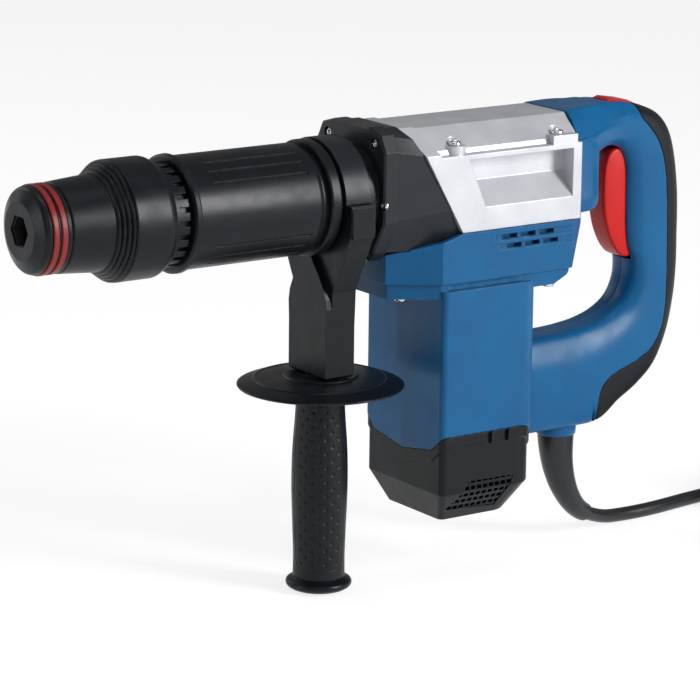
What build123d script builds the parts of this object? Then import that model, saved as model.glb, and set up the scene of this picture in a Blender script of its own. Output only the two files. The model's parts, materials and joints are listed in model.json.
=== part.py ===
"""Electric demolition hammer with a hexagon tool socket, side handle and D-shaped rear handle.

Millimetres. +X runs from the nose to the rear handle and +Z is up. The origin is on the ground, under
the middle of the tool, which stands on the end of its side handle. A place along the tool is given as
its distance behind the nose, and a height as its distance above the barrel axis.
"""
from build123d import *
from math import pi, radians, tan
import os

os.makedirs("parts", exist_ok=True)

# ---- driving dimensions
tool_length = 480.0          # nose face to the back of the rear handle
barrel_height = 247.0        # barrel axis above the ground
socket_flats = 17.0          # across the flats of the hexagon tool socket
body_half_width = 39.0       # gear housing, each side of the middle plane
grip_station = 208.0         # axis of the side handle
motor_station = 308.0        # axis of the motor
running = 0.05               # radial clearance of a shaft in its bore

# ---- percussion train
piston_radius = 18.95
crank_throw = 11.0
rod_length = 60.0
pinion_teeth = 8
crank_teeth = 60
gear_module = 0.9
crank_station = motor_station - gear_module * (pinion_teeth + crank_teeth) / 2

# ---- mains lead
cord_radius = 4.5
coil_centre = (364.0, -40.0)   # on the ground, X and Y
coil_inner = 38.0
coil_outer = 66.0
coil_height = 37.0


def behind(distance):
    """X of a station, from its distance behind the nose."""
    return distance - tool_length / 2


def above(height):
    """Z of a level, from its height above the barrel axis."""
    return height + barrel_height


barrel_axis = Axis((0, 0, barrel_height), (1, 0, 0))
grip_axis = Axis((behind(grip_station), 0, 0), (0, 0, 1))
motor_axis = Axis((behind(motor_station), 0, 0), (0, 0, 1))
crank_axis = Axis((behind(crank_station), 0, 0), (0, 0, 1))


def barrel_section(*corners):
    """Half section of a piece turned about the barrel axis, from its (station, radius) corners."""
    with BuildSketch(Plane.XZ) as section:
        with BuildLine():
            Polyline(*[(behind(station), above(radius)) for station, radius in corners], close=True)
        make_face()
    return section.sketch


def upright_section(station, *corners):
    """Half section of a piece turned about an upright axis, from its (radius, height) corners."""
    with BuildSketch(Plane.XZ) as section:
        with BuildLine():
            Polyline(*[(behind(station) + radius, above(height)) for radius, height in corners], close=True)
        make_face()
    return section.sketch


def side_outline(y, *corners):
    """Face in a plane seen from the side, from its (station, height) corners."""
    with BuildSketch(Plane.XZ.offset(-y)) as outline:
        with BuildLine():
            Polyline(*[(behind(station), above(height)) for station, height in corners], close=True)
        make_face()
    return outline.sketch


def mirrored_outline(station, corners, inset=0.0):
    """Face across the tool, from the (y, height) corners of its +Y half."""
    both_sides = [(y, height) for y, height in corners]
    both_sides += [(-y, height) for y, height in reversed(corners) if y > 0]
    with BuildSketch(Plane.YZ.offset(behind(station))) as outline:
        with BuildLine():
            Polyline(*[(y, above(height)) for y, height in both_sides], close=True)
        make_face()
        if inset:
            offset(amount=-inset, kind=Kind.INTERSECTION)
    return outline.sketch


def rounded_plan(height, front, rear, half_width, front_radius, rear_radius):
    """Level face with two rounded front and two rounded rear corners, between two stations."""
    with BuildSketch(Plane.XY.offset(above(height))) as plan:
        with BuildLine():
            Polyline(
                (behind(front), -half_width),
                (behind(rear), -half_width),
                (behind(rear), half_width),
                (behind(front), half_width),
                close=True,
            )
        make_face()
        fillet(plan.vertices().group_by(Axis.X)[0], front_radius)
        fillet(plan.vertices().group_by(Axis.X)[-1], rear_radius)
    return plan.sketch


def disc(height, station, radius, y=0.0):
    """Level round face about an upright axis."""
    with BuildSketch(Plane.XY.offset(above(height))) as face:
        with Locations((behind(station), y)):
            Circle(radius)
    return face.sketch


def cross_disc(station, y, height, radius):
    """Round face across the tool, about an axis along X."""
    with BuildSketch(Plane.YZ.offset(behind(station))) as face:
        with Locations((y, above(height))):
            Circle(radius)
    return face.sketch


# =====================================================================================================
# Nose: the tool holder and what turns with it
# =====================================================================================================
holder_rear = 96.0
socket_depth = 62.0
roller_station = 46.0
roller_radius = 4.4
roller_height = 10.8
roller_half_length = 4.0

with BuildSketch(Plane.YZ.offset(behind(0))) as socket_outline:
    with Locations((0, above(0))):
        RegularPolygon(socket_flats / 2, 6, major_radius=False)

with BuildPart() as tool_holder:
    revolve(
        barrel_section((1.5, 0), (1.5, 15.5), (63, 15.5), (63, 17), (holder_rear, 17), (holder_rear, 0)),
        axis=barrel_axis,
    )
    extrude(socket_outline.sketch, amount=socket_depth, mode=Mode.SUBTRACT)
    extrude(cross_disc(holder_rear, 0, 0, 10.2), amount=-(holder_rear - socket_depth), mode=Mode.SUBTRACT)
    extrude(
        side_outline(
            0,
            (roller_station - roller_radius - 0.2, 5),
            (roller_station + roller_radius + 0.2, 5),
            (roller_station + roller_radius + 0.2, 20),
            (roller_station - roller_radius - 0.2, 20),
        ),
        amount=roller_half_length + 0.3,
        both=True,
        mode=Mode.SUBTRACT,
    )
tool_holder.part.label = "tool_holder"

with BuildSketch(Plane.YZ.offset(behind(0))) as cap_socket_outline:
    with Locations((0, above(0))):
        RegularPolygon(socket_flats / 2 + 0.25, 6, major_radius=False)

with BuildPart() as nose_cap:
    with BuildSketch(Plane.XZ):
        with BuildLine():
            Polyline((behind(0), above(0)), (behind(0), above(17)), (behind(3.2), above(24)))
            Bezier((behind(3.2), above(24)), (behind(4.4), above(25.8)), (behind(7.2), above(25.9)))
            Polyline(
                (behind(7.2), above(25.9)),
                (behind(8), above(24.4)),
                (behind(11.8), above(24.4)),
                (behind(12.2), above(25.9)),
                (behind(13), above(25.9)),
                (behind(13.4), above(24.4)),
                (behind(17.4), above(24.4)),
                (behind(17.8), above(26)),
                (behind(20), above(26.1)),
                (behind(20), above(15.6)),
                (behind(1.5), above(15.6)),
                (behind(1.5), above(0)),
                (behind(0), above(0)),
            )
        make_face()
    revolve(axis=barrel_axis)
    extrude(cap_socket_outline.sketch, amount=1.5, mode=Mode.SUBTRACT)
nose_cap.part.label = "nose_cap"

with BuildPart() as nose_rings:
    for start, end in ((8.1, 11.7), (13.5, 17.3)):
        revolve(
            barrel_section((start, 24.4), (start, 26.2), (start + 0.5, 26.6), (end - 0.5, 26.6),
                           (end, 26.2), (end, 24.4)),
            axis=barrel_axis,
        )
nose_rings.part.label = "nose_rings"

with BuildPart() as lock_roller:
    with BuildSketch(Plane.XZ):
        with Locations((behind(roller_station), above(roller_height))):
            Circle(roller_radius)
    extrude(amount=roller_half_length, both=True)
    chamfer(lock_roller.edges().filter_by(GeomType.CIRCLE), 0.4)
lock_roller.part.label = "lock_roller"

# =====================================================================================================
# Locking sleeve: slides back along the nose to free the tool
# =====================================================================================================
sleeve_front = 20.6
sleeve_rear = 75.0
sleeve_travel = 8.0
roller_lift = 3.0
ramp_slope = roller_lift / sleeve_travel
ramp_front = 26.0
ramp_rear = 48.0

with BuildPart() as locking_sleeve:
    revolve(
        barrel_section(
            (sleeve_front, 16),
            (sleeve_front, 25.9),
            (sleeve_front + 0.8, 26.7),
            (47.5, 28.7),
            (47.5, 26.8),
            (sleeve_rear, 26.8),
            (sleeve_rear, 24),
            (56, 24),
            (56, 19.5),
            (ramp_rear, 19.5),
            (ramp_front, 19.5 + (ramp_rear - ramp_front) * ramp_slope * 0.45),
            (ramp_front, 16),
        ),
        axis=barrel_axis,
    )
    revolve(
        barrel_section(
            (43, 19.4),
            (54, 19.4),
            (54, 16),
            (50.5, 16),
            (43, 16 + 7.5 * ramp_slope),
        ),
        axis=barrel_axis,
    )
locking_sleeve.part.label = "locking_sleeve"

ridge_count = 4
ridge_pitch = 2.35
with BuildPart() as ridged_collar:
    with BuildSketch(Plane.XZ):
        with BuildLine():
            outline = [(47.7, 27.0), (47.7, 28.9)]
            for ridge in range(ridge_count):
                start = 47.7 + ridge * ridge_pitch
                radius = 29.0 + ridge * 1.75
                outline += [(start + 0.5, radius + 0.9), (start + 1.5, radius + 1.5),
                            (start + 2.1, radius + 0.5)]
            outline += [(57.0, 34.6), (57.0, 27.0)]
            Polyline(*[(behind(s), above(r)) for s, r in outline], close=True)
        make_face()
    revolve(axis=barrel_axis)
ridged_collar.part.label = "ridged_collar"

with BuildPart() as adjusting_ring:
    revolve(
        barrel_section(
            (57.2, 27.0),
            (57.2, 35.2),
            (58.2, 36.0),
            (80.4, 36.0),
            (82.0, 35.6),
            (85.0, 34.0),
            (85.0, 32.0),
            (74.5, 32.0),
            (74.5, 27.0),
        ),
        axis=barrel_axis,
    )
adjusting_ring.part.label = "adjusting_ring"

with BuildPart() as lock_spring:
    with BuildLine() as spring_line:
        Helix(pitch=3.6, height=14.4, radius=20.6, center=(behind(66), 0, above(0)), direction=(1, 0, 0))
    with BuildSketch(Plane(origin=spring_line.line @ 0, z_dir=spring_line.line % 0)):
        Circle(0.9)
    sweep(is_frenet=True)
lock_spring.part.label = "lock_spring"

# =====================================================================================================
# Barrel: the percussion tube and what is fixed on it
# =====================================================================================================
tube_front = 84.0
tube_rear = 234.0
tube_outer = 26.0

with BuildPart() as hammer_tube:
    revolve(
        barrel_section(
            (tube_front, 17 + running),
            (tube_front, 24),
            (97, 24),
            (97, tube_outer),
            (tube_rear, tube_outer),
            (tube_rear, piston_radius + running),
            (98, piston_radius + running),
            (98, 17 + running),
        ),
        axis=barrel_axis,
    )
hammer_tube.part.label = "hammer_tube"

detent_slots = 24
with BuildPart() as detent_ring:
    revolve(
        barrel_section((tube_front + 0.2, 24.0), (tube_front + 0.2, 31.2), (95.5, 31.2), (95.5, 24.0)),
        axis=barrel_axis,
    )
    for slot in range(detent_slots):
        with Locations(
            Pos(behind(92.2), 0, above(0)) * Rot(slot * 360 / detent_slots, 0, 0) * Pos(0, 0, 31.2)
        ):
            Box(6.6, 3.4, 5.0, mode=Mode.SUBTRACT)
detent_ring.part.label = "detent_ring"

barrel_front = 97.0
barrel_rear = 188.0
groove_angles = (24, 38, 52, 118, 132, 146)
with BuildPart() as barrel_sleeve:
    revolve(
        barrel_section(
            (barrel_front, tube_outer + 0.1),
            (barrel_front, 33.6),
            (barrel_front + 1, 35.3),
            (100.5, 35.5),
            (102, 33.9),
            (184.5, 33.9),
            (186.5, 33.3),
            (barrel_rear, 31.8),
            (barrel_rear, tube_outer + 0.1),
        ),
        axis=barrel_axis,
    )
    for side in (1, -1):
        for angle in groove_angles:
            with Locations(
                Pos(behind(147), 0, above(0)) * Rot(side * angle, 0, 0) * Pos(0, 0, 33.9)
            ):
                Box(66, 1.3, 1.6, mode=Mode.SUBTRACT)
barrel_sleeve.part.label = "barrel_sleeve"

neck_radius = 31.0
with BuildPart() as barrel_ring:
    revolve(
        barrel_section((191.6, neck_radius), (191.6, 34.6), (192.6, 35.4), (198.0, 35.4), (199.0, 34.8),
                       (199.0, neck_radius)),
        axis=barrel_axis,
    )
barrel_ring.part.label = "barrel_ring"

flange_half = [(0, 42.5), (19, 42.5), (31, 39), (36.5, 29), (36.5, -14), (25, -34), (19, -39.5), (0, -41)]
flange_front = 228.0
flange_rear = 238.0
flange_screw_places = ((33.2, -3), (-33.2, -3), (24.5, 33), (-24.5, 33), (17.5, -34.5), (-17.5, -34.5))

with BuildPart() as front_flange:
    extrude(mirrored_outline(flange_front, flange_half), amount=flange_rear - flange_front)
    chamfer(front_flange.faces().sort_by(Axis.X)[0].edges(), 1.2)
    extrude(cross_disc(188.5, 0, 0, neck_radius), amount=flange_front - 188.5 + 1)
    extrude(cross_disc(188.5, 0, 0, tube_outer + 0.1), amount=flange_rear - 188.5, mode=Mode.SUBTRACT)
    for y, height in flange_screw_places:
        extrude(cross_disc(flange_front, y, height, 3.6), amount=3.4, mode=Mode.SUBTRACT)
        extrude(cross_disc(flange_front, y, height, 1.9), amount=10, mode=Mode.SUBTRACT)
front_flange.part.label = "front_flange"

# =====================================================================================================
# Percussion train
# =====================================================================================================
with BuildPart() as impact_bolt:
    revolve(
        barrel_section((66, 0), (66, 7.2), (67, 8), (70, 8), (72, 10.1), (100, 10.1), (100, 13.2),
                       (101, 14.2), (115, 14.2), (116, 13.2), (116, 0)),
        axis=barrel_axis,
    )
impact_bolt.part.label = "impact_bolt"

with BuildPart() as striker:
    revolve(
        barrel_section((126, 0), (126, 11), (127, 12), (132, 12), (134, piston_radius - 0.1),
                       (139, piston_radius - 0.1), (139, 16.4), (142.6, 16.4),
                       (142.6, piston_radius - 0.1), (150, piston_radius - 0.1), (150, 0)),
        axis=barrel_axis,
    )
striker.part.label = "striker"

with BuildPart() as striker_seal:
    revolve(
        barrel_section((139.2, 16.5), (139.2, piston_radius - 0.02), (142.4, piston_radius - 0.02),
                       (142.4, 16.5)),
        axis=barrel_axis,
    )
striker_seal.part.label = "striker_seal"

wrist_station = crank_station - crank_throw - rod_length
rod_half_height = 4.0
slot_half_height = 4.5
with BuildPart() as piston:
    revolve(
        barrel_section((167, 0), (167, piston_radius), (168.5, piston_radius), (168.5, 17), (171.1, 17),
                       (171.1, piston_radius), (213, piston_radius), (213, 0)),
        axis=barrel_axis,
    )
    extrude(
        side_outline(0, (174, -slot_half_height), (214, -slot_half_height), (214, slot_half_height),
                     (174, slot_half_height)),
        amount=25,
        both=True,
        mode=Mode.SUBTRACT,
    )
    extrude(disc(20, wrist_station, 3.0), amount=-40, mode=Mode.SUBTRACT)
piston.part.label = "piston"

with BuildPart() as piston_seal:
    revolve(
        barrel_section((168.7, 17.1), (168.7, piston_radius + 0.02), (170.9, piston_radius + 0.02),
                       (170.9, 17.1)),
        axis=barrel_axis,
    )
piston_seal.part.label = "piston_seal"

with BuildPart() as wrist_pin:
    extrude(disc(4.6, wrist_station, 2.99), amount=13)
    extrude(disc(-4.6, wrist_station, 2.99), amount=-13)
wrist_pin.part.label = "wrist_pin"

crank_pin_station = crank_station - crank_throw
with BuildPart() as connecting_rod:
    with BuildSketch(Plane.XY.offset(above(-rod_half_height))):
        with Locations((behind(crank_pin_station), 0)):
            Circle(9.5)
        with Locations((behind(wrist_station), 0)):
            Circle(6.0)
        with Locations((behind((crank_pin_station + wrist_station) / 2), 0)):
            Rectangle(rod_length, 7.0)
        with Locations((behind(crank_pin_station), 0)):
            Circle(5.0 + running, mode=Mode.SUBTRACT)
        with Locations((behind(wrist_station), 0)):
            Circle(3.05, mode=Mode.SUBTRACT)
    extrude(amount=2 * rod_half_height)
connecting_rod.part.label = "connecting_rod"

with BuildPart() as crank_shaft:
    extrude(disc(-46.8, crank_station, 6.95), amount=13.3)
    extrude(disc(-34, crank_station, 8.0), amount=8.2)
    extrude(disc(-26, crank_station, 8.95), amount=10.2)
    extrude(disc(-16, crank_station, 17.5), amount=8.5)
    extrude(disc(-7.6, crank_pin_station, 5.0), amount=13)
crank_shaft.part.label = "crank_shaft"


def spur_gear(height, station, teeth, turned_by, bore):
    """Face of a spur gear: straight-sided teeth with plenty of backlash."""
    pitch_radius = teeth * gear_module / 2
    tip = pitch_radius + 0.8 * gear_module
    root = pitch_radius - 1.15 * gear_module
    foot = root - 0.4
    with BuildSketch(Plane.XY.offset(above(height))) as face:
        with Locations((behind(station), 0)):
            Circle(root)
        for tooth in range(teeth):
            turn = turned_by + tooth * 360 / teeth
            with Locations(Location((behind(station), 0, 0), (0, 0, turn))):
                Polygon(
                    (foot, -0.78 * gear_module),
                    (tip, -0.26 * gear_module),
                    (tip, 0.26 * gear_module),
                    (foot, 0.78 * gear_module),
                    align=None,
                )
        if bore:
            with Locations((behind(station), 0)):
                Circle(bore, mode=Mode.SUBTRACT)
    return face.sketch


with BuildPart() as crank_gear:
    extrude(spur_gear(-34, crank_station, crank_teeth, 0, 8.0), amount=7.8)
    for hole in range(5):
        with Locations(
            Pos(behind(crank_station), 0, above(-30)) * Rot(0, 0, hole * 72 + 36) * Pos(17, 0, 0)
        ):
            Cylinder(5, 12, mode=Mode.SUBTRACT)
crank_gear.part.label = "crank_gear"

with BuildPart() as crank_bearings:
    extrude(disc(-47, crank_station, 11), amount=9)
    extrude(disc(-47, crank_station, 7.0), amount=9, mode=Mode.SUBTRACT)
    extrude(disc(-24.8, crank_station, 14), amount=7.6)
    extrude(disc(-24.8, crank_station, 9.0), amount=7.6, mode=Mode.SUBTRACT)
crank_bearings.part.label = "crank_bearings"

with BuildPart() as crank_carrier:
    extrude(rounded_plan(-24.8, 250, 301, 27, 3, 6), amount=7.6)
    extrude(disc(-24.8, crank_station, 14.0), amount=7.6, mode=Mode.SUBTRACT)
crank_carrier.part.label = "crank_carrier"

def belly_plan(height, inset):
    """Level outline of the housing under the gears: an oblong with four cut corners."""
    corners = [(241, 20), (270, 39.8), (369, 39.8), (387, 25)]
    outline = corners + [(station, -y) for station, y in reversed(corners)]
    with BuildSketch(Plane.XY.offset(above(height))) as plan:
        with BuildLine():
            Polyline(*[(behind(station), y) for station, y in outline], close=True)
        make_face()
        if inset:
            offset(amount=-inset, kind=Kind.INTERSECTION)
    return plan.sketch


belly_screw_places = ((255, 17), (358, 30))

with BuildPart() as gear_plate:
    extrude(belly_plan(-57, 4.0), amount=8)
    with Locations((behind(400), 0, above(-53))):
        Box(96, 100, 10, mode=Mode.SUBTRACT)
    extrude(disc(-49.2, crank_station, 14), amount=13)
    extrude(disc(-47.2, crank_station, 11.0), amount=12, mode=Mode.SUBTRACT)
    extrude(disc(-57, motor_station, 11.0), amount=6.5, mode=Mode.SUBTRACT)
    extrude(disc(-57, motor_station, 6.0), amount=9, mode=Mode.SUBTRACT)
    for side in (1, -1):
        station, y = belly_screw_places[0]
        extrude(disc(-57, station, 2.25, side * y), amount=4, mode=Mode.SUBTRACT)
gear_plate.part.label = "gear_plate"

# =====================================================================================================
# Motor
# =====================================================================================================
with BuildPart() as armature_shaft:
    extrude(disc(-184, motor_station, 4.0), amount=146.6)
    extrude(spur_gear(-37.6, motor_station, pinion_teeth, 180 + 180 / pinion_teeth, 0), amount=12.2)
armature_shaft.part.label = "armature_shaft"

armature_slots = 12
with BuildPart() as armature_core:
    extrude(disc(-128, motor_station, 22.5), amount=50)
    extrude(disc(-128, motor_station, 4.0), amount=50, mode=Mode.SUBTRACT)
    for slot in range(armature_slots):
        with Locations(
            Pos(behind(motor_station), 0, above(-103)) * Rot(0, 0, slot * 30) * Pos(21.5, 0, 0)
        ):
            Box(6, 2.2, 50, mode=Mode.SUBTRACT)
armature_core.part.label = "armature_core"

with BuildPart() as commutator:
    extrude(disc(-152, motor_station, 12.0), amount=18)
    extrude(disc(-152, motor_station, 4.0), amount=18, mode=Mode.SUBTRACT)
commutator.part.label = "commutator"

fan_blades = 11
with BuildPart() as cooling_fan:
    extrude(disc(-62.5, motor_station, 32), amount=2)
    extrude(disc(-71, motor_station, 8), amount=9)
    for blade in range(fan_blades):
        with Locations(
            Pos(behind(motor_station), 0, above(-66.2)) * Rot(0, 0, blade * 360 / fan_blades)
            * Pos(21, 0, 0) * Rot(0, 0, 25)
        ):
            Box(20, 1.4, 8)
    extrude(disc(-72, motor_station, 4.0), amount=14, mode=Mode.SUBTRACT)
cooling_fan.part.label = "cooling_fan"

with BuildPart() as motor_bearings:
    for level in (-57, -181):
        extrude(disc(level, motor_station, 11.0), amount=6.4)
        extrude(disc(level, motor_station, 4.0 + running), amount=6.4, mode=Mode.SUBTRACT)
motor_bearings.part.label = "motor_bearings"

with BuildPart() as stator_core:
    extrude(rounded_plan(-128, 275, 341, 35, 12, 12), amount=50)
    extrude(disc(-128, motor_station, 23.3), amount=50, mode=Mode.SUBTRACT)
stator_core.part.label = "stator_core"

with BuildPart() as field_windings:
    for level, depth in ((-128.2, -7.0), (-77.8, 5.0)):
        extrude(disc(level, motor_station, 31), amount=depth)
        extrude(disc(level, motor_station, 25), amount=depth, mode=Mode.SUBTRACT)
    with Locations((behind(motor_station), 0, above(-100))):
        Box(12, 80, 80, mode=Mode.SUBTRACT)
field_windings.part.label = "field_windings"

brush_height = -145.0
with BuildPart() as carbon_brushes:
    for side in (1, -1):
        with Locations((behind(motor_station), side * 20.3, above(brush_height))):
            Box(7, 16, 9)
carbon_brushes.part.label = "carbon_brushes"

with BuildPart() as brush_holders:
    for side in (1, -1):
        with Locations((behind(motor_station), side * 25.5, above(brush_height))):
            Box(12, 18, 14)
            Box(7.1, 18, 9.1, mode=Mode.SUBTRACT)
brush_holders.part.label = "brush_holders"

# =====================================================================================================
# Gear housing: black case in front, silver cover behind
# =====================================================================================================
case_half = [(0, 41.2), (19.5, 41.2), (31, 37.6), (36, 28.5), (36, -13), (24.8, -34.2), (0, -38.5)]
cover_half = [(0, 40), (20, 40), (37, 26.5), (body_half_width, 24.5), (body_half_width, -24.8), (0, -24.8)]
joint_top_station = 247.0
joint_bottom_station = 285.0
joint_top = 42.0
joint_bottom = -24.8
cover_rear = 375.5


def behind_joint(shift):
    """Slab that holds all that lies behind the slanted joint between case and cover."""
    slope = (joint_bottom_station - joint_top_station) / (joint_top - joint_bottom)
    top_station = joint_top_station - 20 * slope + shift
    bottom_station = joint_bottom_station + 40 * slope + shift
    return side_outline(
        60,
        (top_station, joint_top + 20),
        (bottom_station, joint_bottom - 40),
        (480, joint_bottom - 40),
        (480, joint_top + 20),
    )


case_rear_half = [(0, 40.5), (20, 40.5), (36.6, 27.5), (38.7, 19), (38.7, -9), (34.5, -35.5), (0, -36.5)]
case_wall = 4.0


def case_block(inset):
    """Tapered block of the gear case, from the flange back, drawn in by an inset."""
    with BuildPart() as block:
        loft([
            mirrored_outline(flange_rear, case_half, inset).face(),
            mirrored_outline(290, case_rear_half, inset).face(),
        ])
    return block.part


with BuildPart() as gear_case:
    add(case_block(0))
    add(case_block(case_wall), mode=Mode.SUBTRACT)
    extrude(behind_joint(0), amount=120, mode=Mode.SUBTRACT)
    extrude(disc(-60, crank_station, 28.8), amount=34.6, mode=Mode.SUBTRACT)
    extrude(rounded_plan(-25.2, 249, 302, 28, 3, 6), amount=8.4, mode=Mode.SUBTRACT)
gear_case.part.label = "gear_case"

cover_screw_places = ((283, 31.5), (361, 31.5))
screw_seat = 28.6
boss_radius = 6.8
band_width = 11.0
cover_low_half = [(0, 39.1), (19.6, 39.1), (33.4, 26.4), (34.4, 23.6), (body_half_width, 23.0),
                  (body_half_width, -24.8), (0, -24.8)]


def cover_block():
    """Outside of the silver cover: a raised band along its front edge and a lower roof behind it."""
    with BuildPart() as block:
        extrude(mirrored_outline(240, cover_half), amount=cover_rear - 240)
        extrude(behind_joint(band_width), amount=120, mode=Mode.SUBTRACT)
        extrude(mirrored_outline(240, cover_low_half), amount=cover_rear - 240)
        extrude(behind_joint(0.3), amount=120, mode=Mode.INTERSECT)
    return block.part


def cover_pocket(side):
    """Recess in the side of the cover: an upright wall above and a long slope below."""
    with BuildPart() as pocket:
        extrude(
            side_outline(side * 60, (289, 20.0), (302.5, -11.5), (369, -11.5), (369, 20.0)),
            amount=side * 60,
        )
        with BuildSketch(Plane.YZ.offset(behind(240))):
            with BuildLine():
                Polyline(*[(side * y, above(height)) for y, height in (
                    (26.5, 20.0), (26.5, 4.5), (39.2, -10.6), (45, -10.6), (45, 20.0))], close=True)
            make_face()
        extrude(amount=160, mode=Mode.INTERSECT)
    return pocket.part


with BuildPart() as gear_cover:
    add(cover_block())
    for side in (1, -1):
        add(cover_pocket(side), mode=Mode.SUBTRACT)
        station, y = cover_screw_places[0]
        extrude(disc(16, station, boss_radius, side * y), amount=screw_seat - 16)
        station, y = cover_screw_places[1]
        with Locations((behind(station + 1.8), side * (y + 2.6), above(screw_seat - 4))):
            Box(19, 9, 8)
        for station, y in cover_screw_places:
            extrude(disc(screw_seat, station, 5.2, side * y), amount=20, mode=Mode.SUBTRACT)
            extrude(disc(screw_seat, station, 2.25, side * y), amount=-11, mode=Mode.SUBTRACT)
    with Locations((behind(306), 0, above(5))):
        Box(130, 2 * 22.5, 60, mode=Mode.SUBTRACT)
    with Locations((behind(306), 0, above(-20.5))):
        Box(130, 2 * 33, 10, mode=Mode.SUBTRACT)
gear_cover.part.label = "gear_cover"


# =====================================================================================================
# Motor housing and its end cap
# =====================================================================================================
column_front = 270.5
column_rear = 347.0
column_half_width = 41.5
column_wall = 4.0
belly_rim = -55.5
belly_bottom = -65.0
cap_bottom = -208.0
cap_facet = -189.0
cap_joint = [(0, -166), (30, -161), (41, -151.5), (46, -148.5)]


with BuildPart() as motor_housing:
    extrude(belly_plan(-20, 0), amount=belly_rim + 20)
    extrude(belly_plan(belly_rim, 2.2), amount=belly_bottom - belly_rim)
    extrude(
        side_outline(60, (236, -38.4), (285, -25.1), (375, -25.1), (388, -25.1), (388, -30),
                     (367, -60), (357, belly_bottom), (243, belly_bottom), (239, -50)),
        amount=120,
        mode=Mode.INTERSECT,
    )
    extrude(rounded_plan(belly_bottom + 5, column_front, column_rear, column_half_width, 3.5, 17),
            amount=-110)
    extrude(mirrored_outline(260, cap_joint + [(46, -220), (0, -220)]), amount=100, mode=Mode.SUBTRACT)
    extrude(
        rounded_plan(-200, column_front + column_wall, column_rear - column_wall,
                     column_half_width - column_wall, 3, 13),
        amount=143,
        mode=Mode.SUBTRACT,
    )
    with BuildPart(mode=Mode.PRIVATE) as belly_room:
        extrude(belly_plan(-57, 3.9), amount=40)
        extrude(side_outline(60, (230, -10), (383, -10), (383, -30), (364.1, -57), (230, -57)),
                amount=120, mode=Mode.INTERSECT)
    add(belly_room.part, mode=Mode.SUBTRACT)
    with BuildPart(mode=Mode.PRIVATE) as rear_shelf:
        extrude(belly_plan(-28.5, 0.5), amount=3.4)
        with Locations((behind(cover_rear - 4 - 75), 0, above(-27))):
            Box(150, 100, 10, mode=Mode.SUBTRACT)
    add(rear_shelf.part)
    add(case_block(-0.3), mode=Mode.SUBTRACT)
    for row_height, row_start, louvre_start in ((-30.4, 321, 309), (-36.4, 324.5, 312.5)):
        for side in (1, -1):
            with Locations((behind((louvre_start + 371) / 2), side * 41, above(row_height))):
                Box(371 - louvre_start, 4.8, 3.6, mode=Mode.SUBTRACT)
        for slot in range(3):
            with Locations((behind(row_start + slot * 14.2), 0, above(row_height))):
                Box(11.5, 90, 2.8, mode=Mode.SUBTRACT)
    for side in (1, -1):
        with Locations((behind(342), side * 33.6, above(-33.4))):
            Box(60, 1.2, 15)
        for station in (313, 371):
            with Locations((behind(station), side * 35.2, above(-33.4))):
                Box(2.4, 4.4, 15)
    for station, y in belly_screw_places:
        for side in (1, -1):
            extrude(disc(belly_bottom, station, 2.25, side * y), amount=11, mode=Mode.SUBTRACT)
motor_housing.part.label = "motor_housing"

screw_head = 4.3
screw_shank = 2.2
screw_length = 10.0
with BuildPart() as housing_screws:
    for side in (1, -1):
        for station, y in cover_screw_places:
            extrude(disc(screw_seat + running, station, screw_head, side * y), amount=2.8)
            extrude(disc(screw_seat + running, station, screw_shank, side * y), amount=-screw_length)
        for station, y in belly_screw_places:
            extrude(disc(belly_bottom - running, station, screw_head, side * y), amount=-2.8)
            extrude(disc(belly_bottom - running, station, screw_shank, side * y), amount=screw_length)
housing_screws.part.label = "housing_screws"

cap_skin = 0.8
grille_depth = 3.0
grille_outline = [(292.7, -182), (327, -182.6), (318.5, -203.2), (279, -200.4)]
cap_band = [(y, height - 0.4) for y, height in cap_joint]


def cap_block(inset):
    """Outside of the motor's end cap, drawn in by an inset."""
    front = column_front + 0.3 + inset
    rear = column_rear - 0.8 - inset
    half_width = column_half_width - 0.3 - inset
    with BuildPart() as block:
        extrude(rounded_plan(cap_facet, front, rear, half_width, 3.5, 17), amount=45)
        loft([
            rounded_plan(cap_facet, front, rear, half_width, 3.5, 17).face(),
            rounded_plan(cap_bottom, front + 7.7, rear - 11.2, half_width - 11.7, 3.5, 14).face(),
        ])
    return block.part


def below_joint(drop):
    """All that lies lower than the joint between motor housing and end cap, less a drop."""
    line = [(y, height - drop) for y, height in cap_band]
    return mirrored_outline(260, line + [(46, -240), (0, -240)])


with BuildPart() as grille:
    add(cap_block(cap_skin + 0.6))
    add(cap_block(cap_skin + grille_depth), mode=Mode.SUBTRACT)
    extrude(side_outline(0, *grille_outline), amount=60, both=True, mode=Mode.INTERSECT)
with BuildPart() as grille_bars:
    for row in range(5):
        with Locations((behind(302), 0, above(-184.6 - row * 4.3))):
            Box(60, 100, 1.7)
    for column in range(11):
        with Locations((behind(280 + column * 4.6), 0, above(-193))):
            Box(1.1, 100, 24)

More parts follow.
